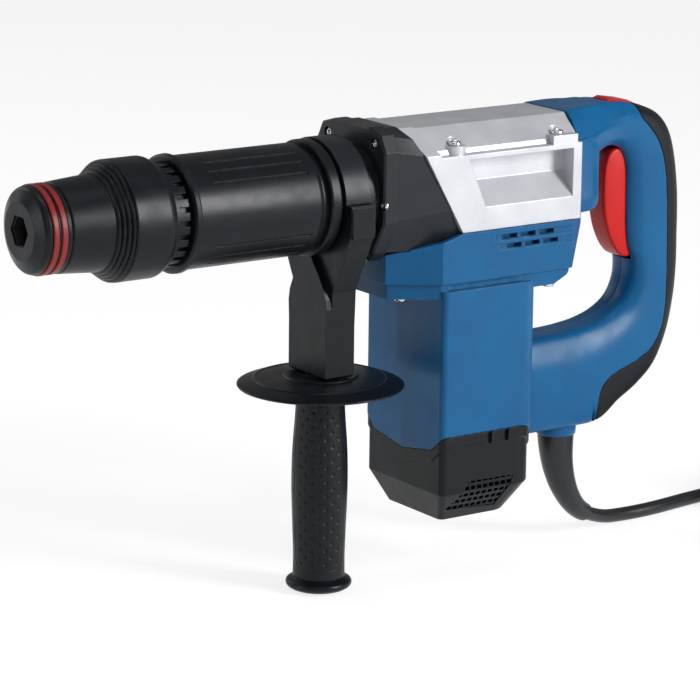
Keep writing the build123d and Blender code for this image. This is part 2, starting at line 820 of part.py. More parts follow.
with BuildPart() as motor_cap:
    add(cap_block(cap_skin))
    add(cap_block(0))
    with BuildPart(mode=Mode.PRIVATE) as skirt:
        add(cap_block(0))
        add(cap_block(cap_skin), mode=Mode.SUBTRACT)
        extrude(below_joint(6.6), amount=100, mode=Mode.INTERSECT)
    add(skirt.part, mode=Mode.SUBTRACT)
    extrude(below_joint(0), amount=100, mode=Mode.INTERSECT)
    with BuildPart(mode=Mode.PRIVATE) as pocket:
        add(cap_block(0))
        add(cap_block(cap_skin + grille_depth), mode=Mode.SUBTRACT)
        extrude(side_outline(0, *grille_outline), amount=60, both=True, mode=Mode.INTERSECT)
    add(pocket.part, mode=Mode.SUBTRACT)
    add(grille.part & grille_bars.part)
    extrude(
        rounded_plan(-190, column_front + column_wall, column_rear - column_wall - 1,
                     column_half_width - column_wall, 3, 13),
        amount=60,
        mode=Mode.SUBTRACT,
    )
    extrude(rounded_plan(-203, column_front + 16, column_rear - 20, column_half_width - 18, 3, 10),
            amount=14, mode=Mode.SUBTRACT)
    extrude(disc(-203.5, motor_station, 14), amount=29)
    extrude(disc(-181.1, motor_station, 11.0), amount=20, mode=Mode.SUBTRACT)
    extrude(disc(-188, motor_station, 6.0), amount=20, mode=Mode.SUBTRACT)
    for side in (1, -1):
        for station in (307, 320):
            with Locations((behind(station), side * 41.5, above(-154.5))):
                Box(3.6, 5, 11, mode=Mode.SUBTRACT)
motor_cap.part.label = "motor_cap"

# =====================================================================================================
# Rear handle
# =====================================================================================================
grip_half_width = 16.5
arm_half_width = 19.0

handle_corners = [
    (347.6, -167), (347.6, -106), (404, -104), (437, -88), (440.5, -66), (435, -56), (434, 0), (424, 13),
    (398, 14), (376, 8), (376, 42), (428, 40.2), (468, 28), (479, -20), (480, -80), (476, -118),
    (455, -143), (425, -158), (411, -167),
]
handle_radii = [0, 0, 40, 24, 12, 6, 8, 10, 10, 0, 0, 60, 26, 60, 60, 36, 40, 30, 6]
overmould_line = [
    (437, 60), (440, 30), (452, 18), (461, -6), (465, -40), (466, -90), (459, -119), (436, -130),
    (419, -137), (411, -147), (409, -200), (520, -200), (520, 60),
]


def handle_outline(y):
    """Side view of the whole rear handle with its rounded corners."""
    with BuildSketch(Plane.XZ.offset(-y)) as outline:
        with BuildLine():
            Polyline(*[(behind(station), above(height)) for station, height in handle_corners], close=True)
        make_face()
        for (station, height), radius in zip(handle_corners, handle_radii):
            if radius:
                corner = outline.vertices().sort_by_distance((behind(station), y, above(height)))[0]
                fillet(corner, radius)
    return outline.sketch


def handle_half(side):
    """One half of the rear handle, split on the middle plane."""
    with BuildPart() as half:
        extrude(handle_outline(0), amount=-side * grip_half_width)
        chamfer(half.faces().sort_by(Axis.Y)[-1 if side > 0 else 0].outer_wire().edges(), 4.5)
        with BuildSketch(Plane.XZ):
            with BuildLine():
                Polyline(*[(behind(station), above(height)) for station, height in (
                    (347.6, -166.9), (347.6, -108), (372, -108), (404, -122), (404, -166.9))], close=True)
            make_face()
        extrude(amount=-side * arm_half_width)
        with BuildSketch(Plane.XY.offset(above(-23))):
            with BuildLine():
                Polyline(*[(behind(station), side * y) for station, y in (
                    (376, 0), (376, 37.5), (391, 33), (397, 24), (397, 0))], close=True)
            make_face()
        extrude(amount=61)
        with BuildSketch(Plane.XY.offset(above(12))):
            with BuildLine():
                Polyline(*[(behind(station), side * y) for station, y in (
                    (390, 0), (390, 33), (410, 22), (440, 14), (440, 0))], close=True)
            make_face()
        extrude(amount=25)
        extrude(side_outline(60, *overmould_line), amount=120, mode=Mode.SUBTRACT)
        extrude(side_outline(0, (376, 50), (376, 38), (400, 41), (440, 36.5), (440, 60)),
                amount=80, both=True, mode=Mode.SUBTRACT)
        extrude(side_outline(0, (431, -64), (431, -4), (417, -4), (417, 12.4), (452, 12.4), (452, -64)),
                amount=9.4, both=True, mode=Mode.SUBTRACT)
        with BuildSketch(Plane.XZ):
            with Locations((behind(trigger_pivot[0]), above(trigger_pivot[1]))):
                Circle(2.0 + running)
        extrude(amount=11.7, both=True, mode=Mode.SUBTRACT)
        extrude(side_outline(0, (449, -66), (449, 2), (460, 2), (460, -66)),
                amount=11.5, both=True, mode=Mode.SUBTRACT)
        extrude(side_outline(0, (419, 26), (444, 26), (444, 60), (419, 60)),
                amount=7.5, both=True, mode=Mode.SUBTRACT)
        extrude(side_outline(0, (382, -20), (382, 30), (391, 30), (391, -20)),
                amount=22, both=True, mode=Mode.SUBTRACT)
        extrude(side_outline(0, (352, -160), (352, -114), (398, -116), (398, -160)),
                amount=13, both=True, mode=Mode.SUBTRACT)
        extrude(disc(-170, 391, 8.5), amount=30, mode=Mode.SUBTRACT)
        for station, height in handle_screw_places:
            with BuildSketch(Plane.XZ.offset(-25)):
                with Locations((behind(station), above(height))):
                    Circle(2.05)
            extrude(amount=34, mode=Mode.SUBTRACT)
            with BuildSketch(Plane.XZ.offset(-40)):
                with Locations((behind(station), above(height))):
                    Circle(4.0)
            extrude(amount=27, mode=Mode.SUBTRACT)
    return half.part


trigger_pivot = (444, -58)
handle_screw_places = ((410, 26), (447, -84), (428, -115), (378, -139.5))

with BuildPart() as handle_left:
    add(handle_half(-1))
handle_left.part.label = "handle_left"

with BuildPart() as handle_right:
    add(handle_half(1))
handle_right.part.label = "handle_right"

with BuildPart() as handle_screws:
    for station, height in handle_screw_places:
        with BuildSketch(Plane.XZ.offset(-13.05)):
            with Locations((behind(station), above(height))):
                Circle(3.6)
        extrude(amount=-2.4)
        with BuildSketch(Plane.XZ.offset(-13.05)):
            with Locations((behind(station), above(height))):
                Circle(2.0)
        extrude(amount=21)
handle_screws.part.label = "handle_screws"

with BuildPart() as handle_overmould:
    extrude(handle_outline(0), amount=grip_half_width, both=True)
    chamfer(handle_overmould.faces().sort_by(Axis.Y)[-1].outer_wire().edges(), 4.5)
    chamfer(handle_overmould.faces().sort_by(Axis.Y)[0].outer_wire().edges(), 4.5)
    extrude(side_outline(60, *overmould_line), amount=120, mode=Mode.INTERSECT)
    extrude(side_outline(0, (419, 26), (444.5, 26), (444.5, 60), (419, 60)),
            amount=7.5, both=True, mode=Mode.SUBTRACT)
handle_overmould.part.label = "handle_overmould"

with BuildPart() as trigger:
    with BuildSketch(Plane.XZ):
        with BuildLine():
            Polyline(*[(behind(station), above(height)) for station, height in (
                (441, -62.5), (441, 8), (428, 10), (423, 7.5), (419.5, 0), (418.5, -14), (419.5, -32),
                (425, -51), (435, -62.5))], close=True)
        make_face()
    extrude(amount=8.8, both=True)
    chamfer(trigger.edges().filter_by(GeomType.LINE).filter_by(Axis.Y, reverse=True)
            .group_by(Axis.X)[0], 1.5)
    with BuildSketch(Plane.XZ):
        with Locations((behind(trigger_pivot[0]), above(trigger_pivot[1]))):
            Circle(4.2)
        with Locations((behind(trigger_pivot[0] - 3), above(trigger_pivot[1]))):
            Rectangle(6, 8)
    extrude(amount=8.8, both=True)
    with BuildSketch(Plane.XZ):
        with Locations((behind(trigger_pivot[0]), above(trigger_pivot[1]))):
            Circle(2.0)
    extrude(amount=11.3, both=True)
trigger.part.label = "trigger"

with BuildPart() as switch_module:
    with Locations((behind(456), 0, above(-28))):
        Box(7.4, 20, 44)
switch_module.part.label = "switch_module"

with BuildPart() as lock_button:
    extrude(
        side_outline(0, (420, 30), (420, 40.9), (423, 41.9), (436, 39.8), (443, 36.8), (443, 30)),
        amount=7.0,
        both=True,
    )
lock_button.part.label = "lock_button"

# =====================================================================================================
# Side handle
# =====================================================================================================
band_front = 201.0
band_rear = 219.0
clamp_bore = neck_radius + 0.3
post_bottom = -110.0
arm_recess = 4.0
arm_recess_edge = [(1.5, -33), (5.5, -39), (11, -45.5), (16, -52.5), (19.4, -60), (20.4, -66), (60, -66), (60, 12),
                   (1.5, 12)]

with BuildPart() as clamp_band:
    extrude(cross_disc(band_front, 0, 0, 36), amount=band_rear - band_front)
    extrude(cross_disc(band_front, 0, 0, clamp_bore), amount=band_rear - band_front, mode=Mode.SUBTRACT)
    with Locations((behind(grip_station), 0, above(-49.6))):
        Box(60, 100, 100, mode=Mode.SUBTRACT)
clamp_band.part.label = "clamp_band"

with BuildPart() as yoke:
    extrude(
        mirrored_outline(197.8, [(0, 0), (40.5, 0), (40.5, -17), (21, -56), (20, -78), (20, post_bottom),
                                 (0, post_bottom)]),
        amount=21,
    )
    chamfer(yoke.faces().sort_by(Axis.Z)[0].edges(), 1.5)
    extrude(cross_disc(190, 0, 0, clamp_bore), amount=40, mode=Mode.SUBTRACT)
    extrude(cross_disc(190, 0, 0, 36), amount=9.6, mode=Mode.SUBTRACT)
    extrude(disc(0, grip_station, 4.05), amount=-120, mode=Mode.SUBTRACT)
    extrude(disc(0, grip_station, 6.5), amount=-39.2, mode=Mode.SUBTRACT)
    for side in (1, -1):
        with BuildSketch(Plane.YZ.offset(behind(197.8))):
            with BuildLine():
                Polyline(*[(side * y, above(height)) for y, height in arm_recess_edge], close=True)
            make_face()
        extrude(amount=arm_recess, mode=Mode.SUBTRACT)
        with Locations((behind(210.2), side * 40.6, above(-10.5))):
            Box(15.6, 1.6, 19)
yoke.part.label = "yoke"

with BuildPart() as clamp_bolt:
    extrude(disc(-38, grip_station, 4.0), amount=-112)
    extrude(disc(-33, grip_station, 6.4), amount=-6)
clamp_bolt.part.label = "clamp_bolt"

with BuildPart() as guard_disc:
    revolve(
        upright_section(grip_station, (4.3, -110.4), (24, -110.6), (37.5, -111.4), (39.3, -112.6),
                        (51.0, -116.2), (51.4, -117.2), (50.8, -118), (38, -114.8), (18, -114.4),
                        (16, -119), (4.3, -119)),
        axis=grip_axis,
    )
guard_disc.part.label = "guard_disc"

with BuildPart() as side_grip:
    revolve(
        upright_section(grip_station, (4.3, -119), (14.8, -119), (15.6, -140), (17.2, -165),
                        (17.4, -180), (16.6, -205), (16.0, -225), (16.2, -238.6), (4.3, -238.6)),
        axis=grip_axis,
    )
side_grip.part.label = "side_grip"

with BuildPart() as grip_end_cap:
    revolve(
        upright_section(grip_station, (0, -238.8), (16.6, -238.8), (19.4, -239.6), (20.5, -241.6),
                        (20.2, -243.6), (18.4, -245.8), (15, -247), (0, -247)),
        axis=grip_axis,
    )
grip_end_cap.part.label = "grip_end_cap"

# =====================================================================================================
# Flange screws
# =====================================================================================================
with BuildPart() as flange_screws:
    for y, height in flange_screw_places:
        extrude(cross_disc(flange_front + 3.4, y, height, 3.4), amount=-2.6)
        extrude(cross_disc(flange_front + 3.4, y, height, 1.85), amount=6.4)
flange_screws.part.label = "flange_screws"

# =====================================================================================================
# Mains lead: strain relief, free lead, coil with its tie, tail and plug
# =====================================================================================================
boot_circles = [
    ((391, 0, -167.2), (0, 0, -1), 12.0),
    ((391.6, 0, -183), (0.06, 0, -1), 11.2),
    ((394.6, 0.3, -199), (0.3, 0.03, -1), 9.8),
    ((401.2, 1.4, -214), (0.62, 0.13, -1), 8.3),
    ((410.6, 3.2, -226), (1, 0.2, -0.85), 7.0),
    ((420.6, 5.2, -233.0), (1, 0.22, -0.5), 6.0),
]
with BuildPart() as strain_relief:
    for (station, y, height), direction, radius in boot_circles:
        with BuildSketch(Plane(origin=(behind(station), y, above(height)), z_dir=direction)):
            Circle(radius)
    loft()
strain_relief.part.label = "strain_relief"


def lead(route):
    """Tube of the mains lead: straight runs joined by the largest arcs that fit."""
    points = [Vector(behind(station), y, above(height)) for station, y, height in route]
    runs = [(end - start).length for start, end in zip(points, points[1:])]
    radii = []
    for index in range(1, len(points) - 1):
        before = points[index] - points[index - 1]
        after = points[index + 1] - points[index]
        turn = radians(before.get_angle(after))
        radii.append(0.45 * min(runs[index - 1], runs[index]) / tan(turn / 2))
    with BuildPart() as tube:
        with BuildLine() as line:
            FilletPolyline(*points, radius=radii)
        with BuildSketch(Plane(origin=points[0], z_dir=points[1] - points[0])):
            Circle(cord_radius)
        sweep()
    length = sum(edge.length for edge in line.edges())
    print("lead", round(length, 1), "radii", [round(radius) for radius in radii],
          "volume ratio", round(tube.part.volume / (pi * cord_radius**2 * length), 4))
    return tube.part


lead_route = [
    (420.6, 5.2, -233.0), (436, 9.0, -240.2), (459, 12.2, -242.5), (484, 12.4, -242.5),
    (516, 17.5, -242.5), (556, 21.8, -242.5), (598, 21.4, -242.5),
]
tail_route = [
    (604, -101.4, -214.4), (583, -102.6, -215.8), (562, -102.0, -222.0), (548, -101.2, -228.2),
    (538.3, -101, -231.0),
]
with BuildPart() as cord_tube:
    add(lead(lead_route))
    add(strain_relief.part, mode=Mode.SUBTRACT)
cord_tube.part.label = "cord_tube"

with BuildPart() as cord_tail:
    add(lead(tail_route))
cord_tail.part.label = "cord_tail"

with BuildPart() as cord_coil:
    with BuildSketch(Plane.XY.offset(1.0)):
        with Locations(coil_centre):
            Circle(coil_outer)
            Circle(coil_inner, mode=Mode.SUBTRACT)
    extrude(amount=coil_height)
    fillet(cord_coil.edges(), 4.0)
cord_coil.part.label = "cord_coil"

with BuildPart() as coil_tie:
    with BuildSketch(Plane.XZ.offset(-coil_centre[1])):
        with Locations((coil_centre[0] + (coil_inner + coil_outer) / 2 - 0.2, 1.0 + coil_height / 2)):
            RectangleRounded(coil_outer - coil_inner + 2.6, coil_height + 2.0, 4.6)
            RectangleRounded(coil_outer - coil_inner + 0.9, coil_height + 0.2, 3.6, mode=Mode.SUBTRACT)
    extrude(amount=6, both=True)
coil_tie.part.label = "coil_tie"

plug_y = -101.0
plug_height = 16.0
with BuildPart() as plug_body:
    with BuildSketch(Plane.XZ.offset(-plug_y)):
        with BuildLine():
            Polyline(*[(behind(station), plug_height + radius) for station, radius in (
                (538, 0), (538, 6.5), (530, 8.5), (526, 14), (521, 16), (503, 16), (500, 14.5),
                (500, 0))], close=True)
        make_face()
    revolve(axis=Axis((0, plug_y, plug_height), (1, 0, 0)))
    add(cord_tail.part, mode=Mode.SUBTRACT)
plug_body.part.label = "plug_body"

with BuildPart() as plug_pins:
    for offset_y in (9.5, -9.5):
        with BuildSketch(Plane.YZ.offset(behind(500))):
            with Locations((plug_y + offset_y, plug_height)):
                Circle(2.4)
        extrude(amount=-19)
plug_pins.part.label = "plug_pins"

pieces = [
    tool_holder, nose_cap, nose_rings, lock_roller, locking_sleeve, ridged_collar,
    adjusting_ring, lock_spring, hammer_tube, detent_ring, barrel_sleeve, barrel_ring, front_flange,
    flange_screws, impact_bolt, striker, striker_seal, piston, piston_seal, wrist_pin, connecting_rod,
    crank_shaft, crank_gear, crank_bearings, crank_carrier, gear_plate, armature_shaft, armature_core,
    commutator, cooling_fan, motor_bearings, stator_core, field_windings, carbon_brushes,
    brush_holders, gear_case, gear_cover, motor_housing, housing_screws, motor_cap,
    handle_left, handle_right, handle_screws, handle_overmould, trigger, switch_module,
    lock_button, clamp_band, yoke, clamp_bolt, guard_disc, side_grip, grip_end_cap,
    strain_relief, cord_tube, cord_tail, cord_coil, coil_tie, plug_body, plug_pins,
]
for piece in pieces:
    export_step(piece.part, f"parts/{piece.part.label}.step")
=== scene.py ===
"""Electric demolition hammer on its side handle: looks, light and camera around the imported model."""
import json
from math import cos, pi, radians, sin, sqrt

import bmesh
import bpy
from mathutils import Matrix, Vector


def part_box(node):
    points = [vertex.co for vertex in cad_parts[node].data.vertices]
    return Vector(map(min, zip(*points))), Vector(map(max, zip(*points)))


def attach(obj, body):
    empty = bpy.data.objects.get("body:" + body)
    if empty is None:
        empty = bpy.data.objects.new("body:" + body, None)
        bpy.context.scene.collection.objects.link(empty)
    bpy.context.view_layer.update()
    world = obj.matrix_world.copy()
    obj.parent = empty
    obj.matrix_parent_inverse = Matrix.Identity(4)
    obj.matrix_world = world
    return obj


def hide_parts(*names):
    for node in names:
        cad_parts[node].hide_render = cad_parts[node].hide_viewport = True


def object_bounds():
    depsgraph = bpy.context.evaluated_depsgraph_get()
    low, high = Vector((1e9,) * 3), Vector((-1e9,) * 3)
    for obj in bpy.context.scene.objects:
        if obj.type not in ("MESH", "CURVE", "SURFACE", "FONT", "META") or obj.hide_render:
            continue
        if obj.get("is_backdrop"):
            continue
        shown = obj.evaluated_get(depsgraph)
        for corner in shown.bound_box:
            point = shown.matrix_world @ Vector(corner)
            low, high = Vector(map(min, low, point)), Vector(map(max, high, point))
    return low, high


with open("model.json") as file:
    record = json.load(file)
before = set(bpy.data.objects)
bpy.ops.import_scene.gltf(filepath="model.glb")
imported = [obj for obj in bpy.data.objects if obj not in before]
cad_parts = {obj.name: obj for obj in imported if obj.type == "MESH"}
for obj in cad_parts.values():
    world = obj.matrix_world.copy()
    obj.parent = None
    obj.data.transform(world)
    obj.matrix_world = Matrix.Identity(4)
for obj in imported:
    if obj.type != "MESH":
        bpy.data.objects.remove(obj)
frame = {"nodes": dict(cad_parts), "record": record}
cad_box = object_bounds()
nodes = frame["nodes"]

# ---- places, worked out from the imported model
MM = 0.001
nose_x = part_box("nose_cap")[0][0]
axis_z = (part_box("barrel_sleeve")[0][2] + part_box("barrel_sleeve")[1][2]) / 2


def at(station, y, height):
    """Point of the row frame from a distance behind the nose and a height above the barrel axis, in mm."""
    return Vector((nose_x + station * MM, y * MM, axis_z + height * MM))


# =====================================================================================================
# Camera, floor and light
# =====================================================================================================
camera_azimuth = radians(-34.67)
camera_elevation = radians(13.7)
camera_roll = radians(0.69)
camera_target = Vector((-0.0104, 0.0, 0.1483))
camera_distance = 2.097
camera_lens = 176.14
camera_sensor = 36.0
camera_far = 20.0
world_strength = 0.24
floor_reach = 12.0
floor_drop = 0.0004
floor_grey = 0.27
floor_glow = 0.79
floor_roughness = 0.9
light_target = (0.0, 0.0, 0.16)
# name, place in metres, size in metres, power in watts
studio_lights = [
    ("key", (1.15, -1.85, 1.0), (0.6, 1.1), 56),
    ("top", (-0.1, -0.1, 2.2), (1.5, 0.6), 7),
    ("nose", (-2.1, 0.5, 0.6), (0.22, 1.4), 10),
    ("front", (-1.2, -2.2, 1.6), (0.5, 0.5), 5),
    ("rear", (-0.6, 2.1, 1.1), (1.2, 1.2), 7),
]


def add_camera():
    level = cos(camera_elevation)
    back = Vector((sin(camera_azimuth) * level, -cos(camera_azimuth) * level, sin(camera_elevation)))
    camera = bpy.data.objects.new("camera", bpy.data.cameras.new("camera"))
    camera.data.sensor_width = camera_sensor
    camera.data.lens = camera_lens
    camera.data.clip_end = camera_far
    camera.location = camera_target + back * camera_distance
    camera.rotation_euler = back.to_track_quat("Z", "Y").to_euler()
    camera.rotation_euler.rotate_axis("Z", camera_roll)
    bpy.context.scene.collection.objects.link(camera)
    bpy.context.scene.camera = camera


def area_light(name, place, target, size, power):
    light = bpy.data.lights.new(name, "AREA")
    light.shape = "RECTANGLE"
    light.size, light.size_y = size
    light.energy = power
    holder = bpy.data.objects.new(name, light)
    holder.location = place
    holder.rotation_euler = (Vector(place) - Vector(target)).to_track_quat("Z", "Y").to_euler()
    bpy.context.scene.collection.objects.link(holder)


def add_world():
    world = bpy.data.worlds.new("studio")
    world.use_nodes = True
    background = world.node_tree.nodes["Background"]
    background.inputs["Color"].default_value = (1.0, 1.0, 1.0, 1.0)
    background.inputs["Strength"].default_value = world_strength
    bpy.context.scene.world = world


def add_floor():
    mesh = bpy.data.meshes.new("floor")
    corners = [(floor_reach * x, floor_reach * y, 0) for x, y in ((-1, -1), (1, -1), (1, 1), (-1, 1))]
    mesh.from_pydata(corners, [], [(0, 1, 2, 3)])
    floor = bpy.data.objects.new("floor", mesh)
    floor.location.z = -floor_drop
    bpy.context.scene.collection.objects.link(floor)
    material = bpy.data.materials.new("floor_paint")
    material.use_nodes = True
    shader = material.node_tree.nodes["Principled BSDF"]
    shader.inputs["Base Color"].default_value = (floor_grey, floor_grey, floor_grey, 1)
    shader.inputs["Roughness"].default_value = floor_roughness
    shader.inputs["Emission Color"].default_value = (1, 1, 1, 1)
    shader.inputs["Emission Strength"].default_value = floor_glow
    mesh.materials.append(material)
    floor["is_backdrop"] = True


bpy.context.scene.view_settings.view_transform = "Standard"
add_camera()
add_world()
add_floor()
for name, place, size, power in studio_lights:
    area_light(name, place, light_target, size, power)


# =====================================================================================================
# Materials
# =====================================================================================================
tone_scale = 38
gloss_scale = 75
# Cells per metre of the patches of painted highlight along sharp edges.
edge_highlight_scale = 160
bevel_samples = 4
bump_strength = 0.5


def material_nodes(name):
    material = bpy.data.materials.new(name)
    material.use_nodes = True
    tree = material.node_tree
    return material, tree, tree.nodes["Principled BSDF"]


def link(tree, source, target):
    tree.links.new(source, target)


def object_coordinates(tree):
    return tree.nodes.new("ShaderNodeTexCoord").outputs["Object"]


def noise(tree, scale, detail=2.0, stretch=(1, 1, 1)):
    """Noise in the row frame, with its scale in cells per metre."""
    mapping = tree.nodes.new("ShaderNodeMapping")
    mapping.inputs["Scale"].default_value = stretch
    link(tree, object_coordinates(tree), mapping.inputs["Vector"])
    texture = tree.nodes.new("ShaderNodeTexNoise")
    texture.inputs["Scale"].default_value = scale
    texture.inputs["Detail"].default_value = detail
    link(tree, mapping.outputs["Vector"], texture.inputs["Vector"])
    return texture.outputs["Fac"]


def ramp(tree, value, low, high, start, end):
    """Value from low..high mapped on to start..end."""
    node = tree.nodes.new("ShaderNodeMapRange")
    node.inputs["From Min"].default_value = low
    node.inputs["From Max"].default_value = high
    node.inputs["To Min"].default_value = start
    node.inputs["To Max"].default_value = end
    link(tree, value, node.inputs["Value"])
    return node.outputs["Result"]


def blend_colours(tree, factor, first, second):
    node = tree.nodes.new("ShaderNodeMix")
    node.data_type = "RGBA"
    link(tree, factor, node.inputs["Factor"])
    for socket, colour in ((6, first), (7, second)):
        if isinstance(colour, tuple):
            node.inputs[socket].default_value = (*colour, 1)
        else:
            link(tree, colour, node.inputs[socket])
    return node.outputs[2]


def times(tree, first, second):
    node = tree.nodes.new("ShaderNodeMath")
    node.operation = "MULTIPLY"
    link(tree, first, node.inputs[0])
    link(tree, second, node.inputs[1])
    return node.outputs[0]


def edge_mask(tree, radius):
    """One along sharp edges and nought elsewhere, from how far the rounded normal leaves the real one."""
    bevel = tree.nodes.new("ShaderNodeBevel")
    bevel.samples = bevel_samples
    bevel.inputs["Radius"].default_value = radius
    geometry = tree.nodes.new("ShaderNodeNewGeometry")
    dot = tree.nodes.new("ShaderNodeVectorMath")
    dot.operation = "DOT_PRODUCT"
    link(tree, bevel.outputs["Normal"], dot.inputs[0])
    link(tree, geometry.outputs["Normal"], dot.inputs[1])
    return ramp(tree, dot.outputs["Value"], 0.98, 0.80, 0.0, 1.0)


def surface(name, colour, shade, roughness, grain, depth, metallic=0.0, rounding=0.0006,
            edge_highlight_colour=None, edge_highlight_amount=0.5, specular=0.5, stretch=(1, 1, 1)):
    """Moulded, painted or machined surface: two tones, fine grain, uneven gloss and a painted highlight in
    patches along sharp edges.
    """
    material, tree, shader = material_nodes(name)
    tone = blend_colours(tree, ramp(tree, noise(tree, tone_scale, 4), 0.35, 0.65, 0.0, 1.0), colour, shade)
    # Painted highlight: a lighter colour laid in patches along sharp edges, standing in for light caught
    # there.
    if edge_highlight_colour:
        highlight_patches = ramp(tree, noise(tree, edge_highlight_scale, 3), 0.45, 0.62, 0.0, edge_highlight_amount)
        edge_highlight = times(tree, edge_mask(tree, rounding * 1.3), highlight_patches)
        tone = blend_colours(tree, edge_highlight, tone, edge_highlight_colour)
    link(tree, tone, shader.inputs["Base Color"])
    link(tree, ramp(tree, noise(tree, gloss_scale, 5, stretch), 0.3, 0.7, roughness - 0.05, roughness + 0.06),
         shader.inputs["Roughness"])
    shader.inputs["Metallic"].default_value = metallic
    shader.inputs["Specular IOR Level"].default_value = specular
    bump = tree.nodes.new("ShaderNodeBump")
    bump.inputs["Strength"].default_value = bump_strength
    bump.inputs["Distance"].default_value = depth
    link(tree, noise(tree, grain, 3, stretch), bump.inputs["Height"])
    if rounding:
        bevel = tree.nodes.new("ShaderNodeBevel")
        bevel.samples = bevel_samples
        bevel.inputs["Radius"].default_value = rounding
        link(tree, bevel.outputs["Normal"], bump.inputs["Normal"])
    link(tree, bump.outputs["Normal"], shader.inputs["Normal"])
    return material


def metal(name, colour, shade, roughness, grain=900, depth=0.00003, stretch=(1, 1, 1), rounding=0.0004):
    return surface(name, colour, shade, roughness, grain, depth, metallic=1.0, rounding=rounding,
                   stretch=stretch)


# The edge colours below are painted highlights along sharp edges, not wear.
looks = {
    "socket_steel": metal("socket_steel", (0.16, 0.16, 0.17), (0.10, 0.10, 0.11), 0.42),
    "hard_steel": metal("hard_steel", (0.50, 0.50, 0.51), (0.40, 0.40, 0.41), 0.28),
    "screws": metal("screws", (0.75, 0.75, 0.76), (0.62, 0.62, 0.63), 0.20),
    "nose_rubber": surface("nose_rubber", (0.20, 0.014, 0.012), (0.13, 0.010, 0.009), 0.42, 900, 0.00004,
                           specular=0.30),
    "black_plastic": surface("black_plastic", (0.0045, 0.0060, 0.0085), (0.0030, 0.0042, 0.0062), 0.35, 1500,
                             0.00010, edge_highlight_colour=(0.07, 0.075, 0.08), specular=0.20),
    "case_black": surface("case_black", (0.0105, 0.0130, 0.0165), (0.0072, 0.0092, 0.0122), 0.36, 1100,
                          0.00014, edge_highlight_colour=(0.10, 0.105, 0.11), specular=0.24, rounding=0.0005),
    "cover_silver": surface("cover_silver", (0.54, 0.55, 0.58), (0.46, 0.47, 0.50), 0.38, 1100, 0.00012,
                            metallic=0.45, edge_highlight_colour=(0.82, 0.83, 0.85)),
    "alloy": metal("alloy", (0.55, 0.55, 0.57), (0.45, 0.45, 0.47), 0.45),
    "seal_rubber": surface("seal_rubber", (0.02, 0.02, 0.02), (0.03, 0.03, 0.03), 0.5, 900, 0.00005),
    "blue_plastic": surface("blue_plastic", (0.0010, 0.084, 0.215), (0.001, 0.072, 0.190), 0.34, 1400,
                            0.00012, edge_highlight_colour=(0.06, 0.28, 0.52), specular=0.22, rounding=0.0010),
    "grip_rubber": surface("grip_rubber", (0.0060, 0.0080, 0.0105), (0.0042, 0.0057, 0.0077), 0.42, 1500,
                           0.00015, edge_highlight_colour=(0.06, 0.065, 0.07), specular=0.20),
    "red_plastic": surface("red_plastic", (0.50, 0.010, 0.009), (0.42, 0.008, 0.007), 0.34, 1300, 0.00008,
                           edge_highlight_colour=(0.75, 0.06, 0.05), specular=0.20),
    "laminations": metal("laminations", (0.30, 0.30, 0.32), (0.22, 0.22, 0.23), 0.4, stretch=(1, 1, 12)),
    "copper": metal("copper", (0.62, 0.27, 0.14), (0.48, 0.20, 0.10), 0.33),
    "carbon": surface("carbon", (0.045, 0.045, 0.045), (0.03, 0.03, 0.03), 0.6, 900, 0.0001),
    "cord_rubber": surface("cord_rubber", (0.0095, 0.011, 0.0135), (0.0065, 0.0075, 0.0095), 0.34, 1200,
                           0.00006, rounding=0, specular=0.40),
    "tie": surface("tie", (0.05, 0.05, 0.055), (0.035, 0.035, 0.04), 0.5, 1400, 0.0001),
    "pins": metal("pins", (0.72, 0.67, 0.55), (0.62, 0.57, 0.46), 0.25),
}
slot_of = {row["node"]: row["material_slot"] for row in frame["record"]["subparts"]}


def dress(piece, slot):
    """Give a piece the look of one of the record's material slots."""
    piece.data.materials.clear()
    piece.data.materials.append(looks[slot])
    return piece


for name, node in nodes.items():
    for material_slot in node.material_slots:
        material_slot.material = looks[slot_of[name]]


# =====================================================================================================
# Mains lead
# =====================================================================================================
lead_radius = 4.5
coil_centre = ((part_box("cord_coil")[0][0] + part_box("cord_coil")[1][0]) / 2 - nose_x) / MM
coil_middle = -40.0
lead_floor = -242.5
lead_route = [
    (420.6, 5.2, -233.0), (436, 9.0, -240.2), (459, 12.2, -242.5), (484, 12.4, -242.5),
    (516, 17.5, -242.5), (556, 21.8, -242.5), (590, 21.5, -242.5),
]
tail_route = [(583, -102.6, -215.8), (562, -102.0, -222.0), (548, -101.2, -228.2), (538.3, -101, -231.0)]
coil_columns = (61.3, 52.0, 42.7)
coil_layers = 4
coil_step = 9.0
coil_lift = 1.0
points_per_turn = 14
crossing_start = 0.7
crossing_span = 0.3


def coil_points():
    """Turns of the coil, wound clockwise: each layer runs across the columns, then the next lies on it."""
    places = []
    for layer in range(coil_layers):
        columns = coil_columns if layer % 2 == 0 else coil_columns[::-1]
        places += [(radius, lead_floor + coil_lift + layer * coil_step) for radius in columns]
    turned = []
    for index in range(1, int((len(places) - 0.5) * points_per_turn)):
        turn = index / points_per_turn
        here = places[int(turn)]
        there = places[min(int(turn) + 1, len(places) - 1)]
        share = max(0.0, (turn % 1 - crossing_start) / crossing_span)
        share = share * share * (3 - 2 * share)
        radius = here[0] + (there[0] - here[0]) * share
        height = here[1] + (there[1] - here[1]) * share
        angle = pi / 2 - 2 * pi * turn
        turned.append((coil_centre + radius * cos(angle), coil_middle + radius * sin(angle), height))
    return turned


def cord_curve(name, route, radius):
    curve = bpy.data.curves.new(name, "CURVE")
    curve.dimensions = "3D"
    spline = curve.splines.new("NURBS")
    spline.points.add(len(route) - 1)
    for point, place in zip(spline.points, route):
        point.co = (*at(*place), 1)
    spline.order_u = 3
    spline.use_endpoint_u = True
    spline.resolution_u = 6
    curve.bevel_depth = radius * MM
    curve.bevel_resolution = 6
    curve.use_fill_caps = True
    piece = bpy.data.objects.new(name, curve)
    bpy.context.scene.collection.objects.link(piece)
    return piece


